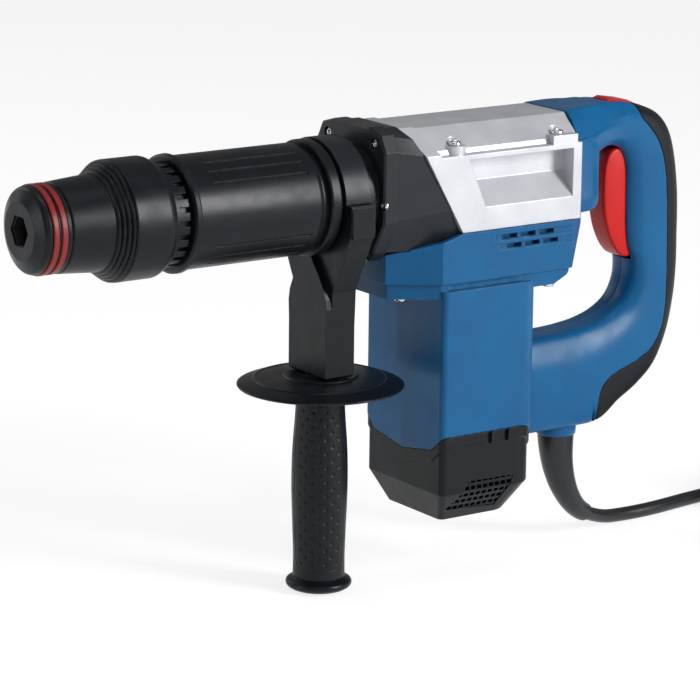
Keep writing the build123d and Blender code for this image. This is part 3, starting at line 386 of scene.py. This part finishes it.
mains_lead = cord_curve("mains_lead", lead_route + coil_points() + tail_route, lead_radius)
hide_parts("cord_tube", "cord_coil", "cord_tail")
dress(mains_lead, "cord_rubber")
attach(mains_lead, "housing")

# =====================================================================================================
# Mesh helpers
# =====================================================================================================
def add_mesh(name, points, faces, smooth=True):
    mesh = bpy.data.meshes.new(name)
    mesh.from_pydata([tuple(point) for point in points], [], faces)
    tidy = bmesh.new()
    tidy.from_mesh(mesh)
    bmesh.ops.recalc_face_normals(tidy, faces=tidy.faces)
    tidy.to_mesh(mesh)
    tidy.free()
    for face in mesh.polygons:
        face.use_smooth = smooth
    piece = bpy.data.objects.new(name, mesh)
    bpy.context.scene.collection.objects.link(piece)
    return piece


def loft(name, rings, closed=False, smooth=True):
    """Skin over rings with equal numbers of points, capped at both ends unless it closes on itself."""
    count = len(rings[0])
    points = [point for ring in rings for point in ring]
    faces = []
    spans = len(rings) if closed else len(rings) - 1
    for ring in range(spans):
        after = (ring + 1) % len(rings)
        for index in range(count):
            follow = (index + 1) % count
            faces.append((ring * count + index, ring * count + follow,
                          after * count + follow, after * count + index))
    if not closed:
        faces.append(tuple(range(count))[::-1])
        faces.append(tuple(range((len(rings) - 1) * count, len(rings) * count)))
    return add_mesh(name, points, faces, smooth)


def applied(piece):
    """The piece with its modifiers made part of its mesh."""
    bpy.context.view_layer.update()
    graph = bpy.context.evaluated_depsgraph_get()
    mesh = bpy.data.meshes.new_from_object(piece.evaluated_get(graph))
    piece.modifiers.clear()
    piece.data = mesh
    return piece


def cut(piece, *tools, operation="DIFFERENCE"):
    for tool in tools:
        step = piece.modifiers.new("cut", "BOOLEAN")
        step.operation = operation
        step.solver = "EXACT"
        step.object = tool
        applied(piece)
        bpy.data.objects.remove(tool)
    return piece


def block(low, high):
    """Plain box used only as a cutting tool, from two (station, y, height) corners."""
    (s0, y0, h0), (s1, y1, h1) = low, high
    rings = [[at(s, y0, h0), at(s, y1, h0), at(s, y1, h1), at(s, y0, h1)] for s in (s0, s1)]
    return loft("tool", rings, smooth=False)


def prism(outline, y0, y1):
    """Side outline of (station, height) points carried from y0 to y1, used only as a cutting tool."""
    return loft("tool", [[at(s, y, h) for s, h in outline] for y in (y0, y1)], smooth=False)


def smooth_line(values, steps):
    """Catmull-Rom curve through rows of numbers."""
    line = []
    last = len(values) - 1
    for index in range(last):
        rows = [values[max(0, index - 1)], values[index], values[index + 1], values[min(last, index + 2)]]
        for step in range(steps):
            t = step / steps
            line.append(tuple(
                0.5 * (2 * b + (c - a) * t + (2 * a - 5 * b + 4 * c - d) * t * t
                       + (3 * b - a - 3 * c + d) * t ** 3)
                for a, b, c, d in zip(*rows)
            ))
    line.append(tuple(values[last]))
    return line


def spaced(line, count, share=1.0):
    """Points at equal distances along the first share of an open line."""
    lengths = [0.0]
    for a, b in zip(line, line[1:]):
        lengths.append(lengths[-1] + sqrt(sum((q - p) ** 2 for p, q in zip(a, b))))
    total = lengths[-1] * share
    points, index = [], 0
    for step in range(count):
        distance = total * step / (count - 1)
        while index < len(line) - 2 and lengths[index + 1] < distance:
            index += 1
        span = lengths[index + 1] - lengths[index] or 1.0
        t = min(1.0, max(0.0, (distance - lengths[index]) / span))
        points.append(tuple(p + (q - p) * t for p, q in zip(line[index], line[index + 1])))
    return points


def inside(point, outline):
    """Whether a flat point lies in a closed outline."""
    x, y = point
    within = False
    for (x0, y0), (x1, y1) in zip(outline, outline[1:] + outline[:1]):
        if (y0 > y) != (y1 > y) and x < (x1 - x0) * (y - y0) / (y1 - y0) + x0:
            within = not within
    return within


def turned(name, section, centre, around):
    """Closed (height, radius) section turned about the upright axis through centre."""
    rings = []
    for step in range(around):
        angle = 2 * pi * step / around
        rings.append([centre + Vector((radius * cos(angle), radius * sin(angle), height)) * MM
                      for height, radius in section])
    return loft(name, rings, closed=True)


# =====================================================================================================
# Rear handle: two blue halves and the soft grip on its back
# =====================================================================================================
grip_profile = [(0, 0), (0, .30), (.03, .55), (.10, .78), (.22, .94), (.40, 1), (.60, 1), (.78, .95),
                (.90, .80), (.97, .56), (1, .30), (1, 0)]
arm_profile = [(0, 0), (0, .35), (.015, .62), (.08, .78), (.20, .92), (.33, 1), (.50, 1), (.72, .985),
               (.90, .95), (.975, .85), (1, .60), (1, 0)]
root_profile = [(0, 0), (0, .60), (.02, .90), (.10, .965), (.25, .99), (.42, 1), (.475, .985), (.50, .93),
                (.56, .905), (.96, .60), (.985, .57), (1, .52), (1, 0)]
# inner (station, height), outer (station, height), half width, share of the grip, arm and root profiles
handle_spokes = [
    (376.4, 8, 376.4, 40.2, 36.4, 0, 0, 1),
    (387, 8.6, 388, 40.9, 34.0, 0, 0, 1),
    (396, 10, 398, 41.2, 29.0, 0, 0, 1),
    (404, 11.5, 409, 41.0, 24.4, 0.12, 0, 0.88),
    (413, 12.5, 421, 40.4, 20.8, 0.4, 0, 0.6),
    (420.5, 12, 434, 39.0, 18.4, 0.75, 0, 0.25),
    (426.5, 10, 448, 35.3, 17.0, 1, 0, 0),
    (430.5, 6, 461, 29.3, 16.6, 1, 0, 0),
    (433, 0, 470, 18.5, 16.5, 1, 0, 0),
    (434, -8, 475.6, 1.0, 16.5, 1, 0, 0),
    (434.4, -24, 479.2, -24, 16.5, 1, 0, 0),
    (435, -42, 480.0, -50, 16.4, 1, 0, 0),
    (437, -54, 480.0, -74, 16.4, 1, 0, 0),
    (440.6, -64, 477.6, -95, 16.6, 1, 0, 0),
    (440.6, -76, 471.8, -117, 17.0, 0.9, 0.1, 0),
    (435.5, -88, 461, -136, 17.8, 0.7, 0.3, 0),
    (425, -96.5, 446, -147.5, 18.6, 0.45, 0.55, 0),
    (412, -101.5, 430, -155.6, 19.2, 0.2, 0.8, 0),
    (398, -104, 413, -165.6, 19.6, 0, 1, 0),
    (380, -105.2, 388, -167.0, 20, 0, 1, 0),
    (347.8, -106, 347.8, -167.0, 20, 0, 1, 0),
]
grip_boundary = [
    (438, 60), (439.5, 38), (441, 30), (445.5, 25), (452, 18), (458.5, 7), (462.3, -8), (464.3, -28),
    (465.6, -60), (465.6, -92), (462.5, -110), (455, -121.5), (443, -128.4), (430, -132.6), (420, -136.4),
    (414, -141.5), (411, -148), (409.6, -158), (409, -175),
]
spoke_steps = 7
profile_steps = 300
edge_steps = 400
flank_points = 44
back_points = 26
parting = 0.10
seam = 0.14
seam_depth = 0.45
full_share = 0.975
outer_limit = 0.995
first_blue = 20
flank_gap = 0.35
edge_gap = 0.2
inner_gap = 0.3
blue_lip = 2.6
soft_lip = 2.2


def handle_rings():
    """Rows of (inner, outer, half width, profile line, share of the profile that is blue)."""
    region = smooth_line(grip_boundary, 6) + [(520, -200), (520, 60)]
    rows = []
    for values in smooth_line(handle_spokes, spoke_steps):
        inner, outer, width = Vector(values[0:2]), Vector(values[2:4]), values[4]
        total = sum(values[5:8])
        shares = [value / total for value in values[5:8]]
        profile = [
            tuple(sum(share * point[k] for share, point in zip(shares, group)) for k in (0, 1))
            for group in zip(grip_profile, arm_profile, root_profile)
        ]
        reach = (outer - inner).length
        line = spaced([(u * reach, v * width) for u, v in smooth_line(profile, 6)], profile_steps + 1)
        edge = 1.0
        for step in range(edge_steps + 1):
            if inside(tuple(inner.lerp(outer, step / edge_steps)), region):
                edge = step / edge_steps
                break
        blue = full_share
        if edge < outer_limit:
            covered = (index for index, (along, _) in enumerate(line)
                       if index > first_blue and along >= edge * reach)
            blue = next(covered) / profile_steps
        rows.append((inner, outer, line, min(blue, full_share)))
    return rows


def place_in_spoke(inner, outer, along, y):
    spot = inner + (outer - inner).normalized() * along
    return at(spot.x, y, spot.y)


def blue_half(side, rows):
    rings = []
    for inner, outer, line, blue in rows:
        flank = spaced(line, flank_points, blue)
        edge_along, edge_y = flank[-1]
        seam_along, seam_y = edge_along - seam, max(edge_y - seam_depth, parting + edge_gap)
        ring = [(inner_gap, parting)]
        ring += [(along, max(y, parting + flank_gap)) for along, y in flank]
        ring[-1] = (edge_along - seam * blue_lip, ring[-1][1])
        ring += [(seam_along, seam_y)]
        ring += [(seam_along, parting + (seam_y - parting) * part) for part in (0.66, 0.33, 0.0)]
        ring += [(seam_along * part + inner_gap * (1 - part), parting) for part in (0.75, 0.5, 0.25)]
        rings.append([place_in_spoke(inner, outer, along, side * y) for along, y in ring])
    return rings


def soft_back(rows):
    covered = [index for index, row in enumerate(rows) if row[3] < full_share]
    rings = []
    for inner, outer, line, blue in rows[covered[0] - 1:covered[-1] + 2]:
        flank = spaced(line[int(blue * profile_steps):], back_points)
        edge_along, edge_y = flank[0]
        half = [(edge_along + seam, 0.0), (edge_along + seam, max(edge_y - seam_depth, edge_gap)),
                (edge_along + seam * soft_lip, max(edge_y - 0.02, inner_gap))] + flank[1:-1]
        ring = half + [flank[-1]]
        ring += [(along, -y) for along, y in half[:0:-1]]
        rings.append([place_in_spoke(inner, outer, along, y) for along, y in ring])
    return loft("soft_back", rings)


foot_outline = [(parting, -23), (34, -23), (36.4, -22), (37.4, -19.5), (37.6, -12.6), (37.0, -11.6),
                (37.0, 15.5), (36.2, 18.6), (30.5, 29), (26, 36), (22, 39), (parting, 39)]
foot_steps = ((376.4, 0.0), (386, 0.5), (390.5, 1.4), (393.6, 3.6), (395.6, 7.0), (396.4, 11.0))
foot_middle = 4.0
foot_half_width = 37.0
foot_half_height = 27.0


def foot(side):
    """Wide foot of the upper arm, behind the cover."""
    rings = []
    for station, inset in foot_steps:
        scale_y, scale_h = 1 - inset / foot_half_width, 1 - inset / foot_half_height
        ring = [(max(y * scale_y, parting) if y > parting else parting,
                 foot_middle + (h - foot_middle) * scale_h)
                for y, h in foot_outline]
        rings.append([at(station, side * y, h) for y, h in ring])
    return loft("foot", rings)


collar_station = 391
collar_rows = ((-158, 13.2), (-169, 13.2), (-173.2, 12.9), (-174, 12.2))
collar_steps = 24


def collar(side):
    """Half of the round mouth that the lead's boot comes out of."""
    rings = []
    for height, radius in collar_rows:
        ring = []
        for step in range(collar_steps + 1):
            angle = -pi / 2 + pi * step / collar_steps
            beside = parting + radius * cos(angle)
            ring.append(at(collar_station + radius * sin(angle), side * beside, height))
        rings.append(ring)
    return loft("collar", rings)


rows = handle_rings()
handle_screw_places = ((410, 26), (447, -84), (428, -115), (378, -139.5))
well_radius, well_floor, well_mouth = 4.1, 13.0, 40.0
well_steps = 48
trigger_slot = [(431, -64), (431, -4), (417, -4), (417, 12.4), (452, 12.4), (452, -64)]
trigger_slot_half = 9.4
button_slot = (419.5, -7.3, 26), (443.6, 7.3, 60)
crease = radians(38)
for side, name in ((-1, "handle_left"), (1, "handle_right")):
    half = loft(f"{name}_shell", blue_half(side, rows))
    cut(half, foot(side), collar(side), operation="UNION")
    cut(half, prism(trigger_slot, -trigger_slot_half, trigger_slot_half), block(*button_slot))
    if side == 1:
        for station, height in handle_screw_places:
            angles = [2 * pi * step / well_steps for step in range(well_steps)]
            well = [(station + well_radius * cos(angle), height + well_radius * sin(angle))
                    for angle in angles]
            cut(half, prism(well, well_floor, well_mouth))
    half.data.set_sharp_from_angle(angle=crease)
    dress(half, "blue_plastic")
    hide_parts(name)
    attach(half, "housing")
back = soft_back(rows)
back.data.set_sharp_from_angle(angle=crease)
dress(back, "grip_rubber")
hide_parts("handle_overmould")
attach(back, "housing")

# =====================================================================================================
# Screws
# =====================================================================================================
screw_around = 48


def hexagonal(angle):
    """Reach of a hexagon with flats at one, in a direction."""
    return 1 / cos((angle + pi / 6) % (pi / 3) - pi / 6)


def screw(seat, direction, head, height, shank, length):
    """Pan-head screw with a six-sided recess, from its seat outwards."""
    direction = Vector(direction)
    across = direction.orthogonal().normalized()
    beside = direction.cross(across)
    rows = [(-length, 0.6 * shank, 0), (0.8 - length, shank, 0), (-0.3, shank, 0), (0, head - 0.25, 0),
            (0.15 * height, head, 0), (0.42 * height, head, 0), (0.66 * height, 0.95 * head, 0),
            (0.84 * height, 0.84 * head, 0), (0.96 * height, 0.68 * head, 0), (height, 0.56 * head, 0),
            (0.98 * height, 0.42 * head, 1), (0.30 * height, 0.38 * head, 1), (0.28 * height, 0.18 * head, 1)]
    rings = []
    for along, radius, recess in rows:
        ring = []
        for step in range(screw_around):
            angle = 2 * pi * step / screw_around
            reach = radius * (hexagonal(angle) if recess else 1)
            outwards = across * reach * cos(angle) + beside * reach * sin(angle)
            ring.append(seat + (direction * along + outwards) * MM)
        rings.append(ring)
    return loft("screw", rings)


def joined(name, parts):
    """One piece from several separate closed forms."""
    whole = bmesh.new()
    for part in parts:
        whole.from_mesh(part.data)
        bpy.data.objects.remove(part)
    mesh = bpy.data.meshes.new(name)
    whole.to_mesh(mesh)
    whole.free()
    piece = bpy.data.objects.new(name, mesh)
    bpy.context.scene.collection.objects.link(piece)
    return piece


cover_screw_seat, belly_screw_seat, flange_screw_seat = 28.65, -65.05, 231.4
cover_screw_places = ((283, 31.5), (361, 31.5))
belly_screw_places = ((255, 17), (358, 30))
flange_screw_places = ((33.2, -3), (-33.2, -3), (24.5, 33), (-24.5, 33), (17.5, -34.5), (-17.5, -34.5))
handle_screw_seat = 13.1
# head radius, head height, shank radius, length
housing_screw = (4.25, 2.75, 2.15, 9.8)
flange_screw = (3.3, 2.5, 1.8, 6.2)
handle_screw = (3.5, 2.3, 1.9, 20.5)
up, down, forward, right = (0, 0, 1), (0, 0, -1), (-1, 0, 0), (0, 1, 0)
housing_screws = joined("housing_screw_set", [
    screw(at(station, side * y, seat), direction, *housing_screw)
    for seat, direction, places in ((cover_screw_seat, up, cover_screw_places),
                                    (belly_screw_seat, down, belly_screw_places))
    for station, y in places for side in (1, -1)
])
flange_screws = joined("flange_screw_set", [
    screw(at(flange_screw_seat, y, height), forward, *flange_screw) for y, height in flange_screw_places
])
handle_screws = joined("handle_screw_set", [
    screw(at(station, handle_screw_seat, height), right, *handle_screw)
    for station, height in handle_screw_places
])
for piece, node in ((housing_screws, "housing_screws"), (flange_screws, "flange_screws"),
                    (handle_screws, "handle_screws")):
    dress(piece, "screws")
    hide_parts(node)
    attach(piece, "housing")

# =====================================================================================================
# Side handle: dimpled grip, flared end and hand guard
# =====================================================================================================
grip_station = 208.0
grip_foot = at(grip_station, 0, 0)
panel_facing = radians(-124)
panel_half_angle = radians(62)
panel_bottom = -232.0
panel_corner = 9.0
dimple_pitch = 8.8
dimple_turn = radians(13.85)
dimple_radius = 1.5
dimple_depth = 0.75
dimple_top = -126.5
dimple_margin = 2.4
dimple_stretch = 1.1
border_depth = 0.32
border_width = 0.55
grip_low, grip_high = -238.6, -119.0
grip_bore = 4.5
grip_around = 228
grip_rows = 262
end_around = 96
guard_around = 144


def panel_distance(across, height, radius):
    """How far inside the rounded lower end of the dimpled panel a place is, in mm."""
    beside = panel_half_angle * radius - abs(across)
    above_end = height - panel_bottom
    if beside < panel_corner and above_end < panel_corner:
        return panel_corner - sqrt((panel_corner - beside) ** 2 + (panel_corner - above_end) ** 2)
    return min(beside, above_end)


def grip_sink(angle, height, radius):
    """Depth of the dimples and of the panel's fine border line at a place on the grip."""
    turn = (angle - panel_facing + pi / 2) % pi - pi / 2
    border = panel_distance(turn * radius, height, radius)
    sink = border_depth * max(0.0, 1 - abs(border) / border_width)
    column = round(turn / dimple_turn)
    first = dimple_top - (column % 2) * dimple_pitch / 2
    row = max(0, round((first - height) / dimple_pitch))
    middle = first - row * dimple_pitch
    if panel_distance(column * dimple_turn * radius, middle, radius) > dimple_margin:
        beside, above = (turn - column * dimple_turn) * radius, (height - middle) / dimple_stretch
        away = sqrt(beside ** 2 + above ** 2) / dimple_radius
        if away < 1:
            sink += dimple_depth * (1 - away * away) ** 1.5
    return sink


def round_ring(height, reach, around):
    """Ring about the grip's axis, where reach gives the radius in a direction."""
    angles = [2 * pi * step / around for step in range(around)]
    return [grip_foot + Vector((reach(angle) * cos(angle), reach(angle) * sin(angle), height)) * MM
            for angle in angles]


grip_line = smooth_line([(grip_high, 14.7), (-128, 15.0), (-140, 15.7), (-152, 16.6), (-165, 17.2),
                         (-180, 17.35), (-192, 17.1), (-205, 16.6), (-225, 16.0), (grip_low, 16.15)], 32)
grip_rings = [round_ring(height, lambda angle: grip_bore, grip_around) for height in (grip_low, grip_high)]
for height, radius in spaced(grip_line, grip_rows):
    grip_rings.append(round_ring(height, lambda angle: radius - grip_sink(angle, height, radius),
                                 grip_around))
grip = loft("dimpled_grip", grip_rings, closed=True)
end_line = smooth_line([(-238.8, 16.3), (-239.3, 16.9), (-240.0, 18.4), (-240.9, 19.8), (-242.2, 20.45),
                        (-243.7, 20.3), (-245.2, 19.0), (-246.4, 16.4), (-247.0, 12.5), (-247.0, 6.0)], 5)
grip_end = loft("grip_end", [
    round_ring(height, lambda angle: radius, end_around) for height, radius in end_line
])
guard_top = smooth_line([(-110.5, 16), (-110.55, 21.6), (-110.7, 22.6), (-111.5, 23.2), (-111.65, 24.4),
                         (-112.0, 30), (-112.6, 36), (-113.1, 39.4), (-112.8, 40.4), (-112.85, 41.0),
                         (-113.5, 41.9), (-114.6, 45.5), (-116.0, 49.6), (-116.6, 51.0), (-117.2, 51.3),
                         (-117.9, 50.8)], 4)
guard_under = [(-117.6, 49.5), (-115.6, 41), (-114.9, 37), (-114.5, 18), (-118.9, 16), (-118.9, 4.4),
               (-110.5, 4.4)]
guard = turned("hand_guard", guard_top + guard_under, grip_foot, guard_around)
for piece, node in ((grip, "side_grip"), (grip_end, "grip_end_cap"), (guard, "guard_disc")):
    dress(piece, slot_of[node])
    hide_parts(node)
    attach(piece, "side_grip")

# =====================================================================================================
# Trigger: rounded blade that swings in its slot
# =====================================================================================================
trigger_back = 441.0
trigger_front = smooth_line([(trigger_back, 8.2), (434, 9.8), (427.5, 9.4), (422.4, 6.2), (419.7, 0),
                             (418.7, -8), (418.6, -18), (419.4, -30), (421.8, -41), (425.6, -50), (430, -57),
                             (435.2, -61.6), (trigger_back, -62.3)], 5)
trigger_middle = (433.0, -27.0)
# half width and how far the outline stands in there
trigger_rows = [(8.75, 2.0), (8.55, 1.25), (8.1, 0.55), (7.4, 0.15), (6.4, 0.0)]
trigger_rings = []
for y, inset in [(-y, inset) for y, inset in trigger_rows] + [(0.0, -0.1)] + trigger_rows[::-1]:
    ring = []
    for station, height in trigger_front:
        inward = Vector((trigger_middle[0] - station, trigger_middle[1] - height)).normalized() * inset
        ring.append(at(min(station + inward.x, trigger_back), y, height + inward.y))
    trigger_rings.append(ring)
trigger = loft("trigger_blade", trigger_rings)
trigger_crease = radians(50)
trigger.data.set_sharp_from_angle(angle=trigger_crease)
dress(trigger, "red_plastic")
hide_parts("trigger")
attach(trigger, "trigger")

size = {"cad": [list(corner) for corner in cad_box], "visual": [list(corner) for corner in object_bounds()]}
